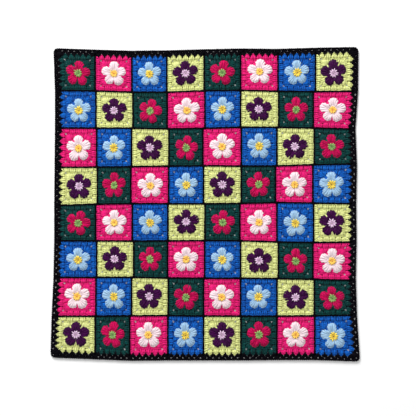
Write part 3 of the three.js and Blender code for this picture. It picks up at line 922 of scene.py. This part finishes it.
def square_plate(plates, strip, column):
    """A square's plate with its teeth and its corner holes, longer along two of them."""
    outline = []
    for side in range(4):
        places = tooth_places() if border_side(strip, column, side) else [(-HALF, 0.0)]
        outline += to_points(on_side(strip, column, side), places)
    rings = [outline]
    for a, b in ((-1, 1), (1, 1), (-1, -1), (1, -1)):
        halves = CORNER_HOLE_HALVES["rising" if a == b else "falling"]
        slant = np.degrees(np.arctan2(b, a))
        place = in_square(strip, column)
        rings.append(diamond(place, a * CORNER_HOLE, b * CORNER_HOLE, *halves, slant)[::-1])
    plates.add(rings, *SQUARE_PLATE, KINDS.index(STRIPS[strip]["kinds"][column]))


def painted_space_shadows(plates, strip, column, rng):
    """Painted shadows: spots of black yarn in the spaces between the groups of a square's last round,
    where shade falls.
    """
    p = SPACES[1:-1]
    for side in range(4):
        for a, b in side_plan(side, p, SHADOW_SPOT_OUT) + rng.normal(0, JITTER["spots"], (len(p), 2)):
            halves = rng.uniform(*SHADOW_SPOT_HALVES)
            spot = diamond(in_square(strip, column), a, b, *halves, rng.uniform(0, 180))
            plates.add([spot], *SHADOW_SPOT_PLATE, BLACK)


def border_plates(plates, rng):
    """The border's thin base: a plate along each square, and one at each corner of the blanket."""
    for strip, column, side, number in border_sides():
        place = on_side(strip, column, side)
        start = -HALF - (JOIN_ROOM if number > 0 else 0)
        end = HALF + (JOIN_ROOM if number < LAST else 0)
        inner = [(start, 0.0), *tooth_places(), (HALF, 0.0), (end, 0.0)][number == 0:]
        ring = to_points(place, inner, -PLATE_LAP)
        ring += to_points(place, [(end, EDGE_OUT), (start, EDGE_OUT)])
        rings = [ring[::-1]]
        drawn_in = rng.uniform(*DRAWN_IN)
        for row in HOLE_ROWS:
            for p in row["along"]:
                share = BORDER_HOLES[side][row["row"]] * rng.uniform(*HOLE_SHARES)
                if row["row"] == "round":
                    share *= drawn_in
                rings.append(diamond(place, p, row["out"], *(half * share for half in row["half"])))
        plates.add(rings, *BORDER_PLATE, BLACK)
    middle = (EDGE_OUT + CORNER_OUT) / 2 + CORNER_BULGE
    corner = (
        (-PLATE_LAP, -PLATE_LAP), (EDGE_OUT, -PLATE_LAP), (EDGE_OUT, CORNER_OUT), (middle, middle),
        (CORNER_OUT, EDGE_OUT), (-PLATE_LAP, EDGE_OUT),
    )
    for side, (strip, column) in enumerate(CORNER_SQUARES):
        place = at_corner(strip, column, side)
        hole_out = BORDER_HOLES[side]["corner"]
        hole = diamond(place, hole_out, hole_out, BLANKET_HOLE, BLANKET_HOLE)
        plates.add([to_points(place, corner), hole[::-1]], *BORDER_PLATE, BLACK)


def join_plates(plates):
    """A plate under each join."""
    for line in join_lines():
        level = abs(line[-1][0] - line[0][0]) > abs(line[-1][1] - line[0][1])
        side = np.array((0.0, JOIN_PLATE_HALF) if level else (JOIN_PLATE_HALF, 0.0))
        ring = np.concatenate((line - side, (line + side)[::-1]))
        plates.add([(ring if level else ring[::-1]).tolist()], *JOIN_PLATE, BLACK)


# Materials

def node(tree, kind, inputs=(), **settings):
    """A node with its settings, and its sockets linked or set to a value."""
    made = tree.nodes.new(kind)
    for key, value in settings.items():
        setattr(made, key, value)
    for socket, value in dict(inputs).items():
        if isinstance(value, bpy.types.NodeSocket):
            tree.links.new(value, made.inputs[socket])
        else:
            made.inputs[socket].default_value = value
    return made


def sum_node(tree, operation, *values):
    return node(tree, "ShaderNodeMath", enumerate(values), operation=operation).outputs[0]


def blend_node(tree, mode, share, first, second):
    inputs = {0: share, 6: first, 7: second}
    made = node(tree, "ShaderNodeMix", inputs, data_type="RGBA", blend_type=mode)
    return made.outputs[2]


def noise_node(tree, place, scale, detail=2):
    inputs = {"Vector": place, "Scale": scale, "Detail": detail}
    return node(tree, "ShaderNodeTexNoise", inputs).outputs[0]


# The yarn: its plies, the turns of their twist in a millimetre, the depth of the furrows between
# them in metres, and the scales of its unevenness
PLIES = 3
TWIST = 0.42
PLY_DEPTH = 0.0004
FIBRE_SCALE = 1400
SPECK_SCALE = 480
MOTTLE_SCALE = 300
WEAVE_SCALE = 210
DRIFT_SCALE = 9


def yarn_material(name, colour, painted_shade, marked, sheen, shine, glint_share):
    """Matt twisted cotton yarn: plies round each strand, fine fibres, painted shade in the hollows and
    between the plies, and painted glints on the fibres.
    """
    material = bpy.data.materials.new(name)
    material.use_nodes = True
    tree = material.node_tree
    tree.nodes.clear()
    place = node(tree, "ShaderNodeTexCoord").outputs["Object"]
    fibres = noise_node(tree, place, FIBRE_SCALE, 3)
    mottle = noise_node(tree, place, MOTTLE_SCALE)
    drift = noise_node(tree, place, DRIFT_SCALE)
    if marked:
        marks = node(tree, "ShaderNodeAttribute", attribute_name="yarn").outputs["Vector"]
        round_share, run, shade = node(tree, "ShaderNodeSeparateXYZ", {0: marks}).outputs
        turns = sum_node(tree, "MULTIPLY", round_share, PLIES)
        lay = sum_node(tree, "MULTIPLY", run, TWIST)
        angle = sum_node(tree, "MULTIPLY", sum_node(tree, "ADD", turns, lay), 2 * np.pi)
        wave = sum_node(tree, "SINE", angle)
    else:
        # The base plates between the stitches: a Voronoi weave with painted shade in the gaps, about
        # half towards the shade colour and darker at the cells' edges
        inputs = {"Vector": place, "Scale": WEAVE_SCALE}
        weave = node(tree, "ShaderNodeTexVoronoi", inputs, feature="SMOOTH_F1").outputs["Distance"]
        shade = sum_node(tree, "SUBTRACT", 0.5, weave)
        wave = sum_node(tree, "MULTIPLY", weave, -2.0)

    # Painted shade: the mix leans to the shade colour where the marks' shade is low, in the furrows
    # between plies, and at random with the mottle
    depth = sum_node(tree, "MULTIPLY", shade, sum_node(tree, "MULTIPLY_ADD", wave, 0.1, 0.9))
    depth = sum_node(tree, "MULTIPLY", depth, sum_node(tree, "MULTIPLY_ADD", mottle, 2.2, -0.1))
    depth = sum_node(tree, "MINIMUM", depth, 1.0)
    tint = blend_node(tree, "MIX", depth, (*painted_shade, 1.0), (*colour, 1.0))
    worn = sum_node(tree, "MULTIPLY_ADD", drift, 0.24, 0.88)
    tint = blend_node(tree, "MULTIPLY", 1.0, tint, worn)
    # Painted highlights: pale specks where fibres catch the light
    specks = sum_node(tree, "SUBTRACT", noise_node(tree, place, SPECK_SCALE), 0.54)
    fibre_glint = sum_node(tree, "MAXIMUM", sum_node(tree, "MULTIPLY", specks, glint_share), 0.0)
    pale = tuple(0.1 + 0.9 * part for part in colour)
    tint = blend_node(tree, "MIX", fibre_glint, tint, (*pale, 1.0))

    height = sum_node(tree, "ADD", sum_node(tree, "MULTIPLY", wave, 0.5), fibres)
    inputs = {"Strength": 0.5, "Distance": PLY_DEPTH, "Height": height}
    bump = node(tree, "ShaderNodeBump", inputs)
    shader = node(tree, "ShaderNodeBsdfPrincipled", {
        "Base Color": tint,
        "Roughness": sum_node(tree, "MULTIPLY_ADD", fibres, 0.2, 0.78),
        "Normal": bump.outputs[0],
        "Sheen Weight": sheen,
        "Sheen Roughness": 0.5,
        "Specular IOR Level": shine,
    })
    node(tree, "ShaderNodeOutputMaterial", {0: shader.outputs[0]})
    return material


def plain_material(name, colour, roughness):
    """A pale painted surface with the faintest unevenness."""
    material = bpy.data.materials.new(name)
    material.use_nodes = True
    tree = material.node_tree
    place = node(tree, "ShaderNodeTexCoord").outputs["Generated"]
    dim = tuple(0.985 * part for part in colour)
    tint = blend_node(tree, "MIX", noise_node(tree, place, 3), (*colour, 1.0), (*dim, 1.0))
    shader = tree.nodes["Principled BSDF"]
    tree.links.new(tint, shader.inputs["Base Color"])
    shader.inputs["Roughness"].default_value = roughness
    shader.inputs["Specular IOR Level"].default_value = 0.1
    return material


# Settings that a user would change

def length(name, description, default):
    return amount(
        name, description, default, min=0.0, precision=4, unit="LENGTH", subtype="DISTANCE",
    )


def amount(name, description, default, **more):
    return FloatProperty(name=name, description=description, default=default, **more)


def colour(name, description, *default):
    return FloatVectorProperty(
        name=name, description=description, default=srgb(*default), size=3, min=0.0, max=1.0,
        subtype="COLOR",
    )


class BlanketStitches(bpy.types.PropertyGroup):
    """Sizes of the stitches."""

    post_width: length("Stitch width", "Width of a tall stitch at its middle", 0.005)
    loop_width: length("Loop width", "Thickness of the yarn in the loops over the stitches", 0.0022)
    join_width: length("Join width", "Width of the black joins between the squares", 0.0048)
    join_step: length("Join step", "Length of one stitch along a join", 0.0064)
    cord_step: length("Cord step", "Length of one stitch along the corded edge", 0.0056)
    flatness: amount(
        "Flatness", "Height of a tall stitch as a share of its width", 0.74, min=0.3, max=1.0,
        subtype="FACTOR",
    )
    seed: IntProperty(
        name="Unevenness", description="Start of the random draws for uneven stitches", default=7, min=0,
    )


# The yarns' colours as a monitor shows them: on top, and the painted shade colour that the hollows and
# the darker stitches take
YARN_COLOURS = {
    "green_yarn": ("Green", "Ground of the green squares", (2, 72, 69), (1, 17, 20)),
    "pink_yarn": ("Pink", "Ground of the pink squares", (228, 31, 120), (185, 16, 88)),
    "blue_yarn": ("Blue", "Ground of the blue squares", (12, 101, 195), (5, 41, 111)),
    "lime_yarn": ("Lime", "Ground of the lime squares", (219, 225, 150), (183, 186, 114)),
    "crimson_yarn": ("Crimson", "Petals of the green squares", (201, 1, 85), (101, 0, 33)),
    "white_yarn": ("White", "Petals of the pink squares", (226, 212, 216), (218, 185, 195)),
    "sky_yarn": ("Sky blue", "Petals of the blue squares", (158, 189, 213), (118, 155, 191)),
    "plum_yarn": ("Plum", "Petals of the lime squares", (63, 1, 67), (5, 0, 6)),
    "leaf_yarn": ("Leaf green", "Centres of the green squares", (151, 186, 106), (53, 95, 55)),
    "orange_yarn": ("Orange", "Centres of the pink squares", (251, 214, 105), (235, 146, 56)),
    "yellow_yarn": ("Yellow", "Centres of the blue squares", (252, 225, 95), (164, 118, 37)),
    "lilac_yarn": ("Lilac", "Centres of the lime squares", (227, 198, 223), (141, 97, 139)),
    "black_yarn": ("Black", "Joins and border", (14, 11, 18), (1, 1, 3)),
}


def yarn_colours():
    """Two settings for every yarn: its colour on top and the painted shade colour of its hollows."""
    settings = {}
    for slot, (label, use, top, painted_shade) in YARN_COLOURS.items():
        settings[slot] = colour(label, use, *top)
        settings[f"{slot}_deep"] = colour(f"{label}, deep", f"{label} yarn in the hollows", *painted_shade)
    return settings


class BlanketColours(bpy.types.PropertyGroup):
    """Colours of the yarns."""

    __annotations__ = yarn_colours()


class BlanketStage(bpy.types.PropertyGroup):
    """The floor, the lights and the camera."""

    floor_colour: colour("Floor", "Colour of the floor", 240, 240, 240)
    key_power: amount("Key light", "Power of the large soft light", 500.0, min=0.0, unit="POWER")
    fill: amount("Fill light", "Strength of the even light all round", 0.68, min=0.0)
    lens: amount("Lens", "Focal length of the camera", 85.0, min=1.0, unit="CAMERA")
    view_width: length("View width", "What the camera takes in from side to side", 1.1232)
    aim_x: amount(
        "Aim right", "Where the camera looks, right of the blanket's middle", 0.0078,
        unit="LENGTH", subtype="DISTANCE",
    )
    aim_y: amount(
        "Aim up", "Where the camera looks, up from the blanket's middle", -0.0101,
        unit="LENGTH", subtype="DISTANCE",
    )


class StitchSizes:
    """The stitches' sizes in millimetres, as half widths where a tube needs them."""

    def __init__(self, stitches):
        self.post = stitches.post_width / MM / 2
        self.loop = stitches.loop_width / MM / 2
        self.join_half = stitches.join_width / MM / 2
        self.join_step = stitches.join_step / MM
        self.cord_step = stitches.cord_step / MM
        self.flat = stitches.flatness
        self.seed = stitches.seed


# How much light catches on the fibres and the yarn, and the strength of the painted glints of pale fibre
BRIGHT_LOOK = {"sheen": 0.05, "shine": 0.05, "glint_share": 1.3}
DULL_LOOK = {"sheen": 0.01, "shine": 0.02, "glint_share": 0.25}


def yarn_look(context, slot, marked=True):
    """The material of a yarn, made once."""
    name = f"crochet_{slot}" if marked else f"crochet_{slot}_base"
    colours = context.scene.blanket_colours
    made = bpy.data.materials.get(name)
    if made:
        return made
    top, painted_shade = (tuple(getattr(colours, name_of)) for name_of in (slot, f"{slot}_deep"))
    look = DULL_LOOK if slot == "black_yarn" else BRIGHT_LOOK
    return yarn_material(name, top, painted_shade, marked, **look)


def finish_piece(piece, slot, *nodes):
    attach(piece, BODY)
    if nodes:
        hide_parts(*nodes)


def squares_of(kind):
    for strip, column in ALL_SQUARES:
        if STRIPS[strip]["kinds"][column] == kind:
            yield strip, column, STRIPS[strip]["turns"][column]


class BLANKET_OT_grounds(bpy.types.Operator):
    """Work the grounds of the squares, one piece for each yarn"""

    bl_idname = "blanket.grounds"
    bl_label = "Square grounds"

    def execute(self, context):
        sizes = StitchSizes(context.scene.blanket_stitches)
        for kind in KINDS:
            yarn = Strands()
            for strip, column, turn in squares_of(kind):
                rng = np.random.default_rng((sizes.seed, 1, strip, column))
                last_round(yarn, strip, column, sizes, rng)
                inner_round(yarn, strip, column, turn, sizes, rng)
                corner_chains(yarn, strip, column, sizes, rng)
                valley_stitches(yarn, strip, column, turn, sizes, rng)
            slot = YARNS[kind]["ground"]
            name = slot.replace("_yarn", "_grounds")
            finish_piece(yarn.make(name, yarn_look(context, slot)), slot)
        return {"FINISHED"}


class BLANKET_OT_flowers(bpy.types.Operator):
    """Work the petals and centres of the flowers, one piece for each yarn"""

    bl_idname = "blanket.flowers"
    bl_label = "Flowers"

    def execute(self, context):
        sizes = StitchSizes(context.scene.blanket_stitches)
        for kind in KINDS:
            petals, middle = Strands(), Strands()
            for strip, column, turn in squares_of(kind):
                rng = np.random.default_rng((sizes.seed, 2, strip, column))
                flower(petals, strip, column, turn, FLOWER_SIZES[kind], sizes, rng)
                centre(middle, strip, column, turn, FLOWER_SIZES[kind], rng)
            for yarn, part in ((petals, "petals"), (middle, "centre")):
                slot = YARNS[kind][part]
                name = slot.replace("_yarn", "_petals" if part == "petals" else "_centres")
                finish_piece(yarn.make(name, yarn_look(context, slot)), slot)
        return {"FINISHED"}


class BLANKET_OT_joins(bpy.types.Operator):
    """Work the black joins between the squares"""

    bl_idname = "blanket.joins"
    bl_label = "Joins"

    def execute(self, context):
        sizes = StitchSizes(context.scene.blanket_stitches)
        rng = np.random.default_rng((sizes.seed, 3))
        yarn = Strands()
        for line in join_lines():
            braid(yarn, line, sizes, rng)
        join_dips(yarn, rng)
        piece = yarn.make("join_stitches", yarn_look(context, "black_yarn"))
        finish_piece(piece, "black_yarn", "joins")
        return {"FINISHED"}


class BLANKET_OT_border(bpy.types.Operator):
    """Work the black border and its corded edge"""

    bl_idname = "blanket.border"
    bl_label = "Border"

    def execute(self, context):
        sizes = StitchSizes(context.scene.blanket_stitches)
        rng = np.random.default_rng((sizes.seed, 4))
        yarn = Strands()
        border_rounds(yarn, sizes, rng)
        border_corners(yarn, sizes, rng)
        edge_cord(yarn, sizes, rng)
        piece = yarn.make("border_stitches", yarn_look(context, "black_yarn"))
        finish_piece(piece, "black_yarn", "border")
        return {"FINISHED"}


class BLANKET_OT_base(bpy.types.Operator):
    bl_idname = "blanket.base"
    bl_label = "Base"

    def execute(self, context):
        plates = Plates()
        seed = context.scene.blanket_stitches.seed
        for strip, column in ALL_SQUARES:
            square_plate(plates, strip, column)
            painted_space_shadows(plates, strip, column, np.random.default_rng((seed, 6, strip, column)))
        # The base plates show in the gaps between stitches, with painted shade from their unmarked looks
        looks = [yarn_look(context, YARNS[kind]["ground"], marked=False) for kind in KINDS]
        looks.append(yarn_look(context, "black_yarn", marked=False))
        border_plates(plates, np.random.default_rng((seed, 5)))
        join_plates(plates)
        base = plates.make("blanket_base", looks)
        finish_piece(base, "squares", *STRIP_NODES)
        return {"FINISHED"}


# The stage, in metres from the blanket's middle
FLOOR_REACH = 10.0
KEY_SIZE = 2.0
KEY_PLACE = (-2.0, 4.8, 2.6)
GROUND_TOP = 3 * MM  # the level that the view's width is measured at
SENSOR = 36.0  # the camera's, in millimetres


class BLANKET_OT_stage(bpy.types.Operator):
    """Set the pale floor, the soft lights and the camera straight above"""

    bl_idname = "blanket.stage"
    bl_label = "Floor, lights and camera"

    def execute(self, context):
        scene = context.scene
        stage = scene.blanket_stage
        mesh = bpy.data.meshes.new("floor")
        corners = at_level(CORNERS * FLOOR_REACH, 0)
        mesh.from_pydata(corners.tolist(), [], [(2, 3, 0, 1)])
        mesh.materials.append(plain_material("pale_floor", tuple(stage.floor_colour), 0.8))
        floor = placed("floor", mesh)

        key = bpy.data.lights.new("key_light", "AREA")
        key.energy = stage.key_power
        key.size = KEY_SIZE
        lamp = placed("key_light", key)
        lamp.location = KEY_PLACE
        lamp.rotation_euler = (-Vector(KEY_PLACE)).to_track_quat("-Z", "Y").to_euler()

        world = bpy.data.worlds.new("soft_light")
        world.use_nodes = True
        background = world.node_tree.nodes["Background"]
        background.inputs["Color"].default_value = (1, 1, 1, 1)
        background.inputs["Strength"].default_value = stage.fill
        scene.world = world

        camera = bpy.data.cameras.new("camera")
        camera.lens = stage.lens
        camera.sensor_width = SENSOR
        viewer = placed("camera", camera)
        distance = stage.view_width * stage.lens / camera.sensor_width
        viewer.location = (stage.aim_x, stage.aim_y, distance + GROUND_TOP)
        scene.camera = viewer
        scene.view_settings.view_transform = "Standard"
        return {"FINISHED"}


STEPS = (
    BLANKET_OT_grounds, BLANKET_OT_flowers, BLANKET_OT_joins, BLANKET_OT_border, BLANKET_OT_base,
    BLANKET_OT_stage,
)


class BLANKET_PT_panel(bpy.types.Panel):
    """The blanket's settings and its pieces, in the order that they are worked"""

    bl_idname = "BLANKET_PT_panel"
    bl_label = "Flower Square Blanket"
    bl_space_type = "VIEW_3D"
    bl_region_type = "UI"
    bl_category = "Blanket"

    def draw(self, context):
        layout = self.layout
        for step in STEPS:
            layout.operator(step.bl_idname)
        for settings in (
            context.scene.blanket_stitches, context.scene.blanket_colours, context.scene.blanket_stage,
        ):
            box = layout.box()
            for name in settings.bl_rna.properties.keys():
                if name not in ("rna_type", "name"):
                    box.prop(settings, name)


CLASSES = (BlanketStitches, BlanketColours, BlanketStage, *STEPS, BLANKET_PT_panel)


def register():
    for made in CLASSES:
        bpy.utils.register_class(made)
    bpy.types.Scene.blanket_stitches = PointerProperty(type=BlanketStitches)
    bpy.types.Scene.blanket_colours = PointerProperty(type=BlanketColours)
    bpy.types.Scene.blanket_stage = PointerProperty(type=BlanketStage)


def unregister():
    del bpy.types.Scene.blanket_stage
    del bpy.types.Scene.blanket_colours
    del bpy.types.Scene.blanket_stitches
    for made in reversed(CLASSES):
        bpy.utils.unregister_class(made)


def main():
    register()
    bpy.ops.blanket.grounds()
    bpy.ops.blanket.flowers()
    bpy.ops.blanket.joins()
    bpy.ops.blanket.border()
    bpy.ops.blanket.base()
    bpy.ops.blanket.stage()


if __name__ == "__main__":
    main()
